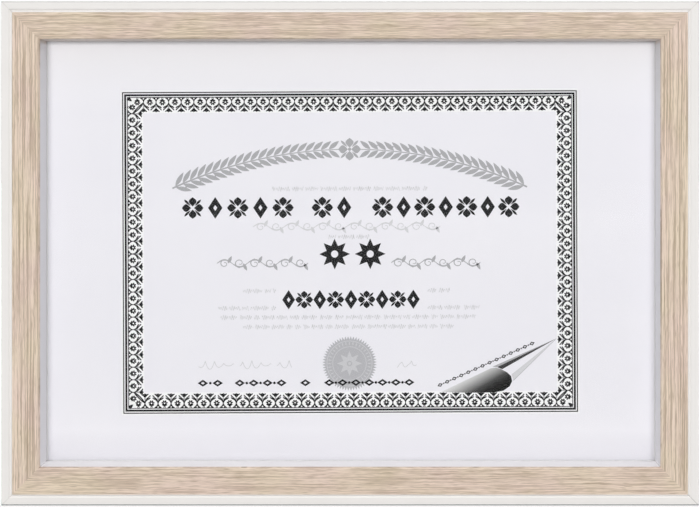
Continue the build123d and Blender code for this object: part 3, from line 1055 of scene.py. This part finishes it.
def make_curl_ink():
    """The tone of a rolled film: pale along its upper edge, nearly black underneath."""
    shade = Shade("curl_ink")
    x, y, z = shade.split(shade.place())
    u = shade.times(shade.minus(x, PRINT_RIGHT * MM), 1 / MM)
    v = shade.times(shade.minus(z, MIDDLE_Z + PRINT_UP * MM), 1 / MM)
    across = shade.minus(shade.times(u, ROLL_SLOPE), v)
    ramp = shade.tree.nodes.new("ShaderNodeValToRGB")
    shade.feed(ramp.inputs["Fac"], shade.range(across, ROLL_BRIGHT, ROLL_DARK))
    stops = ramp.color_ramp.elements
    stops[0].color = srgb(240, 240, 242)
    stops[1].color = srgb(22, 22, 21)
    for share, grey in ROLL_GREYS:
        stops.new(share).color = srgb(grey, grey, grey)
    shade.set(Base_Color=ramp.outputs["Color"], Roughness=INK_ROUGHNESS, Specular_IOR_Level=INK_GLOSS)
    return shade.material


def print_curl(inks):
    """The roll, and the thin edges of the film that run from it to the tip."""
    roll = Ink("print_peel_roll", 3, make_curl_ink())
    outline = [(41.7, -64.7), (53.4, -59.2), (64.7, -53.9), (67.2, -53.6), (69.4, -54.3), (72.2, -55.8)]
    outline += [(74.0, -57.5), (74.5, -59.8), (73.4, -62.2), (70.5, -64.2), (66.4, -65.0), (55.0, -65.1)]
    roll.add(Shape(outline))
    roll.make()
    inks.film.add(Shape([(65.4, -53.2), (67.6, -53.4), FILM_TIP]))
    inks.dark.add(Shape([(67.6, -53.4), (70.0, -54.3), FILM_TIP]))
    inks.light.add(Shape([(74.2, -56.8), (75.1, -59.5), FILM_TIP]))
    inks.film.add(Shape(stroke([(75.1, -59.6), FILM_TIP], (0.24, 0.12))))


def make_print():
    """Every ink with its layer: 0 lies on the card, and 4 is in front."""
    black = make_ink("ink_black", srgb(30, 30, 32))
    white = make_ink("ink_white", srgb(250, 250, 250))
    grey = make_ink("ink_grey", srgb(174, 174, 177))
    inks = SimpleNamespace(
        ground=Ink("print_ground", 0, make_ink("ink_ground", srgb(251, 251, 253))),
        seal=Ink("print_seal", 1, make_ink("ink_seal", srgb(184, 184, 188))),
        leaf=Ink("print_black_1", 1, black),
        black=Ink("print_black_3", 3, black),
        field=Ink("print_white_2", 2, white),
        dot=Ink("print_white_4", 4, white),
        vine=Ink("print_grey_1", 1, grey),
        film=Ink("print_grey_2", 2, grey),
        tint=Ink("print_band", 2, make_ink("ink_band", srgb(176, 176, 178))),
        leaf_grey=Ink("print_leaf_grey", 4, make_ink("ink_leaf_grey", srgb(132, 132, 133))),
        dark=Ink("print_dark_grey", 2, make_ink("ink_dark_grey", srgb(62, 61, 62))),
        light=Ink("print_light_grey", 1, make_ink("ink_light_grey", srgb(212, 212, 215))),
        seal_light=Ink("print_seal_rings", 2, make_ink("ink_seal_light", srgb(202, 202, 205))),
    )
    print_border(inks)
    print_ornaments(inks)
    print_seal(inks)
    print_curl(inks)
    for ink in vars(inks).values():
        ink.make()


# Floor, world and lamps

FLOOR_REACH, FLOOR_DROP = 6.0, 0.05 * MM
FLOOR_NEAR, FLOOR_FAR = 0.2, 12.0  # squares of the distances between which the floor's glow grows
GLOW_NEAR, GLOW_FAR = 0.655, 0.82
FILL = 0.56  # the world's strength as light


def make_floor():
    mesh = bpy.data.meshes.new("floor")
    corners = [(x, y, -FLOOR_DROP) for x, y in rectangle(FLOOR_REACH, FLOOR_REACH)]
    mesh.from_pydata(corners, [], [(0, 1, 2, 3)])
    floor = bpy.data.objects.new("floor", mesh)
    bpy.context.scene.collection.objects.link(floor)
    shade = Shade("pale_floor")
    seen = seen_rays(shade.tree)
    x, y, z = shade.split(shade.place())
    away = shade.add(shade.times(x, x), shade.times(y, y))
    shade.set(
        Base_Color=shade.mix(seen, srgb(120, 120, 120), srgb(178, 178, 178)),
        Roughness=0.85,
        Emission_Color=(1, 1, 1, 1),
        Emission_Strength=shade.times(seen, shade.range(away, FLOOR_NEAR, FLOOR_FAR, GLOW_NEAR, GLOW_FAR)),
    )
    mesh.materials.append(shade.material)
    floor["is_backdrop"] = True


def make_world():
    """White to the camera, and a softer white as light."""
    world = bpy.data.worlds.new("studio")
    bpy.context.scene.world = world
    world.use_nodes = True
    tree = world.node_tree
    background = tree.nodes["Background"]
    background.inputs["Color"].default_value = (1, 1, 1, 1)
    level = tree.nodes.new("ShaderNodeMapRange")
    level.inputs["To Min"].default_value = FILL
    level.inputs["To Max"].default_value = 1.0
    tree.links.new(seen_rays(tree), level.inputs["Value"])
    tree.links.new(level.outputs["Result"], background.inputs["Strength"])


def make_lamp(name, place, size, power, mirrored_in_glass=True):
    """An area lamp aimed at the frame's middle."""
    data = bpy.data.lights.new(name, "AREA")
    data.shape = "RECTANGLE"
    data.size, data.size_y = size
    data.energy = power
    lamp = bpy.data.objects.new(name, data)
    bpy.context.scene.collection.objects.link(lamp)
    lamp.location = place
    lamp.rotation_euler = (Vector((0, 0, MIDDLE_Z)) - lamp.location).to_track_quat("-Z", "Y").to_euler()
    lamp.visible_glossy = mirrored_in_glass


def make_lamps():
    make_lamp("front", place=(0.0, -2.4, 0.31), size=(1.5, 0.6), power=31.3, mirrored_in_glass=False)
    make_lamp("above", place=(-0.1, -0.75, 1.75), size=(0.5, 0.5), power=2.4)
    make_lamp("behind", place=(0.4, 1.3, 0.9), size=(1.2, 0.8), power=12.0)


bpy.context.scene.view_settings.view_transform = "Standard"
make_camera()
make_floor()
make_world()
make_lamps()
dress_nodes()
make_print()

boxes = {"cad": cad_bounds, "visual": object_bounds()}
{name: [list(corner) for corner in box] for name, box in boxes.items()}
